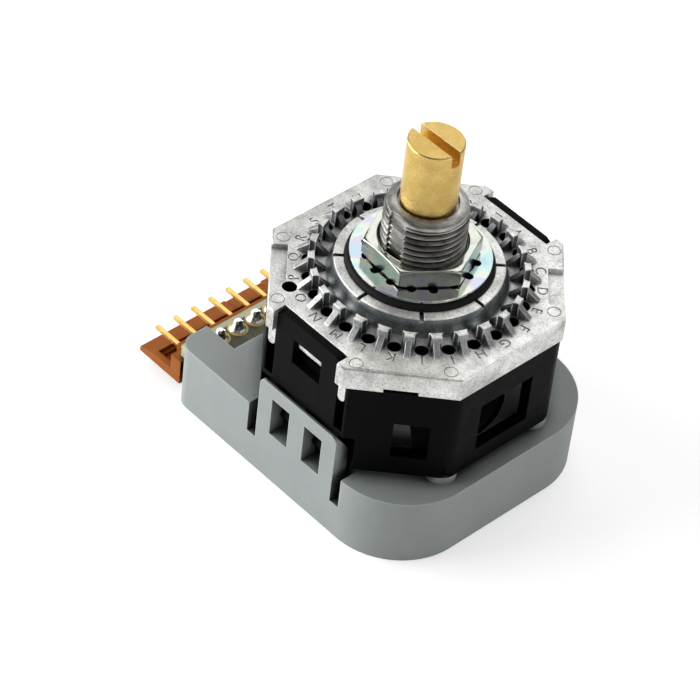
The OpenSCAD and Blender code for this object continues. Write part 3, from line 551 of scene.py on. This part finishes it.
def moulded(name, low, high, rough_low, rough_high, gloss=0.4, gap_reach=0.0, edge_highlight_color=None):
    """Moulded plastic: a slight unevenness of colour and a fine grain; where asked, painted shade in its
    narrow gaps, kept off its lowest part, and painted highlights on its outer edges.
    """
    f = Finish(name)
    f.fixed(Specular_IOR_Level=gloss)
    plastic = f.two_tone(f.grain(4.5, 5, 0.6), low, high)
    if gap_reach:
        open_share = f.recesses(gap_reach, neighbours=True)
        # Painted shade: darkened where it is enclosed by itself and its neighbours, though not near its
        # bottom.
        painted_gap_shade = f.ramp(open_share, (0.3, (0.04, 0.042, 0.042)), (0.6, (0.52, 0.53, 0.53)), (0.82, (1, 1, 1)))
        plastic = f.multiplied(f.fade(f.height, -22.6, -20, 0, 1), plastic, painted_gap_shade)
        if edge_highlight_color:
            # Painted highlight: the outer edges are mixed towards a lighter colour.
            plastic = f.mixed(f.outer_edges(0.2, open_share), plastic, edge_highlight_color)
    f.color(plastic)
    f.roughness(f.varied(f.grain(1.1, 4, 0.6), rough_low, rough_high))
    f.relief(f.grain(0.18, 3, 0.6), 0.006, 0.7, 0.14)
    return f


def black_plastic():
    f = moulded("plastic_black", (0.0007, 0.0007, 0.0008), (0.0018, 0.0018, 0.002), 0.36, 0.5, gloss=0.045)
    return f.material


def grey_plastic():
    f = moulded("plastic_grey", (0.275, 0.3, 0.295), (0.3, 0.325, 0.32), 0.46, 0.58, gloss=0.3,
                gap_reach=2.6, edge_highlight_color=(0.5, 0.52, 0.49))
    return f.material


def brown_plastic():
    f = moulded("plastic_brown", (0.235, 0.062, 0.006), (0.305, 0.088, 0.0095), 0.32, 0.45, gloss=0.15,
                gap_reach=1.2)
    f.fixed(Subsurface_Weight=0.15, Subsurface_Radius=(0.8 * MM, 0.3 * MM, 0.1 * MM))
    return f.material


def rotor_plastic():
    """Nearly black, with one sector in painted light: a guess that gives the light patch seen in the small
    corner window.
    """
    f = moulded("plastic_white", (0.72, 0.72, 0.7), (0.8, 0.8, 0.78), 0.35, 0.5)
    light = f.shader.inputs["Base Color"].links[0].from_socket
    dark = f.two_tone(f.grain(1.5, 4, 0.6), (0.02, 0.02, 0.02), (0.05, 0.05, 0.05))
    azimuth = f.maths("ARCTAN2", f.along, f.across)
    sector = f.product(f.ranged(azimuth, math.radians(SECTOR_TO), math.radians(SECTOR_TO - 1), 0, 1),
                       f.ranged(azimuth, math.radians(SECTOR_FROM), math.radians(SECTOR_FROM + 4), 0, 1))
    # Painted light: a patch of light painted on one sector of the rotor.
    painted_light_share = f.product(sector, f.fade(f.radius(), SECTOR_END_R, SECTOR_BRIGHT_R, 0.1, 1))
    f.color(f.mixed(painted_light_share, dark, light))
    return f.material


def make_finishes():
    return {
        "zinc_casting": zinc_casting(),
        "zinc_casting_edges": zinc_edges(),
        "nickel_plate": nut_plating(),
        "zinc_plate": washer_plating(),
        "brass": turned_brass(),
        "contact_gold": contact_gold(),
        "spring_steel": spring_steel(),
        "solder": solder_metal(),
        "rubber_black": black_rubber(),
        "board_green": board_laminate(),
        "plastic_black": black_plastic(),
        "plastic_grey": grey_plastic(),
        "plastic_brown": brown_plastic(),
        "plastic_white": rotor_plastic(),
    }


# Modelling helpers
def deselect():
    if bpy.context.mode != "OBJECT":
        bpy.ops.object.mode_set(mode="OBJECT")
    bpy.ops.object.select_all(action="DESELECT")


def pick(piece):
    deselect()
    piece.select_set(True)
    bpy.context.view_layer.objects.active = piece


def edit(piece):
    pick(piece)
    bpy.ops.object.mode_set(mode="EDIT")
    bpy.ops.mesh.select_all(action="SELECT")


def done():
    bpy.ops.object.mode_set(mode="OBJECT")


def apply_modifier(piece, kind, **settings):
    pick(piece)
    modifier = piece.modifiers.new("shape", kind)
    for key, value in settings.items():
        setattr(modifier, key, value)
    bpy.ops.object.modifier_apply(modifier=modifier.name)


def copy_of(node, name):
    """A merged copy of a CAD node's mesh, with its flat faces made whole."""
    piece = bpy.data.objects.new(name, nodes[node].data.copy())
    bpy.context.scene.collection.objects.link(piece)
    edit(piece)
    bpy.ops.mesh.customdata_custom_splitnormals_clear()
    bpy.ops.mesh.remove_doubles(threshold=0.002 * MM)
    bpy.ops.mesh.dissolve_limited(angle_limit=math.radians(0.6))
    done()
    return piece


def coat(piece, slot, edges=None):
    """Gives a piece its finish, and its rounded edges a finish of their own."""
    piece.data.materials.clear()
    piece.data.materials.append(finishes[slot])
    if edges:
        piece.data.materials.append(finishes[edges])


def select_edges(piece, wanted):
    """Selects the edges whose two ends satisfy the test."""
    edit(piece)
    bpy.ops.mesh.select_mode(type="EDGE")
    bpy.ops.mesh.select_all(action="DESELECT")
    done()
    for edge in piece.data.edges:
        first, second = (piece.data.vertices[index].co / MM for index in edge.vertices)
        edge.select = wanted(first, second)
    bpy.ops.object.mode_set(mode="EDIT")


def round_selected(width, segments):
    bpy.ops.mesh.bevel(offset=width * MM, segments=segments, affect="EDGES")
    done()


def soften(piece, width, segments=2, angle=38):
    """Rounds the outer edges a little, as moulding, casting or tumbling does."""
    apply_modifier(piece, "BEVEL", width=width * MM, segments=segments, limit_method="ANGLE",
                   angle_limit=math.radians(angle), use_clamp_overlap=True,
                   material=len(piece.data.materials) - 1)


def cut(piece, cutter):
    apply_modifier(piece, "BOOLEAN", operation="DIFFERENCE", solver="EXACT", object=cutter)
    bpy.data.objects.remove(cutter)


def finish_piece(piece, body, slot, *stands_for):
    """Settles a piece's place and shading and hands it to its body in place of its CAD node."""
    pick(piece)
    bpy.ops.object.transform_apply(location=True, rotation=True, scale=True)
    bpy.ops.object.shade_smooth_by_angle(angle=math.radians(SMOOTH_BELOW))
    apply_modifier(piece, "WEIGHTED_NORMAL", mode="FACE_AREA", keep_sharp=True, weight=50)
    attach(piece, body)
    if stands_for:
        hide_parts(*stands_for)


def dress(node, body, slot, width, segments=2):
    """Puts a copy with softened edges in the place of a CAD node."""
    piece = copy_of(node, node + "_dressed")
    coat(piece, slot)
    soften(piece, width, segments)
    finish_piece(piece, body, slot, node)


# Head
def thread_cutter():
    """A helical groove of triangular section, wound upwards along the bushing."""
    rise = THREAD_TO - THREAD_FROM
    turns = rise / THREAD_PITCH
    mouth_r = THREAD_CREST_R + 0.25
    mouth_half = THREAD_PITCH * 0.68
    bpy.ops.mesh.primitive_circle_add(vertices=3, radius=1, location=(0, 0, 0))
    cutter = bpy.context.active_object
    cutter.name = "thread_cutter"
    corners = ((THREAD_ROOT_R, 0), (mouth_r, mouth_half), (mouth_r, -mouth_half))
    for vertex, (r, z) in zip(cutter.data.vertices, corners):
        vertex.co = (r * MM, 0, (THREAD_FROM + z) * MM)
    steps = int(THREAD_STEPS * turns)
    apply_modifier(cutter, "SCREW", axis="Z", angle=math.radians(360) * turns, screw_offset=rise * MM,
                   steps=steps, render_steps=steps, use_merge_vertices=False, use_smooth_shade=False)
    edit(cutter)
    bpy.ops.mesh.select_all(action="DESELECT")
    bpy.ops.mesh.select_non_manifold()
    bpy.ops.mesh.fill_holes(sides=3)
    bpy.ops.mesh.select_all(action="SELECT")
    bpy.ops.mesh.normals_make_consistent(inside=False)
    done()
    return cutter


def position_letter(index):
    """One letter as a solid, at its place on the plate, read from the shaft."""
    bpy.ops.object.text_add(location=(0, 0, 0))
    letter = bpy.context.active_object
    letter.data.body = chr(ord("A") + index)
    letter.data.align_x = "CENTER"
    letter.data.align_y = "CENTER"
    letter.data.size = LETTER_SIZE * MM
    letter.data.extrude = LETTER_DEPTH * MM
    letter.data.resolution_u = 4
    bpy.ops.object.convert(target="MESH")
    turn = math.radians((LETTER_AT_X_AXIS - index) * 360 / positions)
    letter.matrix_world = (Matrix.Rotation(turn, 4, "Z")
                           @ Matrix.Translation((LETTER_CIRCLE_R * MM, 0, 0))
                           @ Matrix.Rotation(math.radians(-90), 4, "Z"))
    bpy.ops.object.transform_apply(location=True, rotation=True, scale=True)
    return letter


def letters_cutter():
    """All letters joined, to cut with."""
    letters = [position_letter(index) for index in range(positions)]
    deselect()
    for letter in letters:
        letter.select_set(True)
    bpy.context.view_layer.objects.active = letters[0]
    bpy.ops.object.join()
    cutter = bpy.context.active_object
    edit(cutter)
    bpy.ops.mesh.remove_doubles(threshold=0.001 * MM)
    done()
    return cutter


def make_head():
    """The casting, with a rounded rim, its thread and its position letters."""
    head = copy_of("head_casting", "head_casting_dressed")
    # The rounded edges get the brighter zinc_casting_edges finish, a painted highlight.
    coat(head, "zinc_casting", "zinc_casting_edges")
    slant = Vector((plate_half_y - PLATE_CORNER_Y, plate_half_x - PLATE_CORNER_X)).normalized()
    slant_reach = Vector((plate_half_x, PLATE_CORNER_Y)).dot(slant)

    def on_rim(point):
        x, y = abs(point.x), abs(point.y)
        past_side = x > plate_half_x - ON_FACE or y > plate_half_y - ON_FACE
        past_slant = Vector((x, y)).dot(slant) > slant_reach - ON_FACE
        return abs(point.z) < ON_FACE and (past_side or past_slant)

    select_edges(head, lambda first, second: on_rim(first) and on_rim(second))
    round_selected(0.24, 3)
    soften(head, 0.1, 2, 50)
    cut(head, thread_cutter())
    cut(head, letters_cutter())
    finish_piece(head, "housing", "zinc_casting", "head_casting")


def make_lock_washer():
    """The washer, turned by half a tooth on the bushing."""
    washer = copy_of("lock_washer", "lock_washer_dressed")
    coat(washer, "zinc_plate")
    soften(washer, 0.06, 2)
    washer.rotation_euler = (0, 0, math.radians(180 / WASHER_TEETH))
    finish_piece(washer, "housing", "zinc_plate", "lock_washer")


# Frame
def make_frame():
    """The black frame, with its four upright outer corners rounded."""
    piece = copy_of("switch_frame", "switch_frame_dressed")
    coat(piece, "plastic_black")

    def outer_corner(first, second):
        rise = abs(first.z - second.z)
        upright = (first - second).xy.length < ON_FACE and rise > FRAME_CORNER_LEAST_H
        at_corner = FRAME_CORNER_FROM_Y < abs(first.y) < FRAME_CORNER_TO_Y
        return upright and at_corner and abs(first.x) > FRAME_CORNER_PAST_X

    select_edges(piece, outer_corner)
    round_selected(0.8, 5)
    soften(piece, 0.12)
    finish_piece(piece, "housing", "plastic_black", "switch_frame")


# Stage
def make_paper():
    """White paper under the object: it keeps a shadow and glows a little where it is looked at."""
    paper = bpy.data.materials.new("white_paper")
    paper.use_nodes = True
    tree = paper.node_tree
    shader = tree.nodes["Principled BSDF"]
    shader.inputs["Base Color"].default_value = (PAPER_TONE, PAPER_TONE, PAPER_TONE, 1)
    shader.inputs["Roughness"].default_value = 0.9
    shader.inputs["Specular IOR Level"].default_value = 0.1
    path = tree.nodes.new("ShaderNodeLightPath")
    mirrored = tree.nodes.new("ShaderNodeMath")
    mirrored.operation = "MULTIPLY"
    mirrored.inputs[1].default_value = PAPER_SHEEN
    tree.links.new(path.outputs["Is Glossy Ray"], mirrored.inputs[0])
    strength = tree.nodes.new("ShaderNodeMath")
    strength.operation = "MULTIPLY_ADD"
    strength.inputs[1].default_value = PAPER_GLOW
    tree.links.new(path.outputs["Is Camera Ray"], strength.inputs[0])
    tree.links.new(mirrored.outputs[0], strength.inputs[2])
    glow = tree.nodes.new("ShaderNodeEmission")
    tree.links.new(strength.outputs[0], glow.inputs["Strength"])
    both = tree.nodes.new("ShaderNodeAddShader")
    tree.links.new(shader.outputs[0], both.inputs[0])
    tree.links.new(glow.outputs[0], both.inputs[1])
    tree.links.new(both.outputs[0], tree.nodes["Material Output"].inputs["Surface"])
    return paper


def soft_box(name, azimuth, elevation, distance, width, height, power):
    """A lamp that looks at the object; its angles are seen from the shaft, its lengths in metres."""
    turn, lift = math.radians(azimuth), math.radians(elevation)
    level = math.cos(lift)
    place = Vector((level * math.cos(turn), level * math.sin(turn), math.sin(lift))) * distance
    bpy.ops.object.light_add(type="AREA", location=place)
    lamp = bpy.context.active_object
    lamp.name = name
    lamp.data.shape = "RECTANGLE"
    lamp.data.size = width
    lamp.data.size_y = height
    lamp.data.energy = power
    aim = Vector((0, 0, LAMP_AIM_Z * MM)) - place
    lamp.rotation_euler = aim.to_track_quat("-Z", "Y").to_euler()


def set_up_stage():
    bpy.ops.mesh.primitive_plane_add(size=PAPER_SIDE_M, location=(0, 0, cad_box[0][2] - PAPER_GAP * MM))
    floor = bpy.context.active_object
    floor.name = "floor"
    floor.data.materials.append(make_paper())

    world = bpy.data.worlds.new("studio")
    bpy.context.scene.world = world
    world.use_nodes = True
    background = world.node_tree.nodes["Background"]
    background.inputs["Color"].default_value = (1, 1, 1, 1)
    background.inputs["Strength"].default_value = ROOM_LIGHT

    soft_box("key_light", -138, 12, distance=0.45, width=0.46, height=0.2, power=3.1)
    soft_box("fill_light", 12, 14, distance=0.6, width=0.4, height=0.4, power=1.3)
    soft_box("side_light", -150, 42, distance=0.6, width=0.3, height=0.3, power=0.3)
    soft_box("front_light", -20, 42, distance=0.6, width=0.3, height=0.3, power=0.09)
    soft_box("back_light", 124, 50, distance=0.6, width=0.8, height=0.8, power=2.4)


# The scene
finishes = make_finishes()
set_up_camera()
set_up_stage()

for subpart in frame["record"]["subparts"]:
    for material_slot in nodes[subpart["node"]].material_slots:
        material_slot.material = finishes[subpart["material_slot"]]

make_head()
make_lock_washer()
dress("hex_nut", "housing", "nickel_plate", 0.08)
dress("base_housing", "housing", "plastic_grey", 0.16, 3)
make_frame()
dress("connector_header", "housing", "plastic_brown", 0.1)
dress("shaft", "rotor", "brass", 0.06)
dress("connector_pins", "housing", "contact_gold", 0.07)

bpy.data.scenes[0].view_settings.view_transform = "Standard"
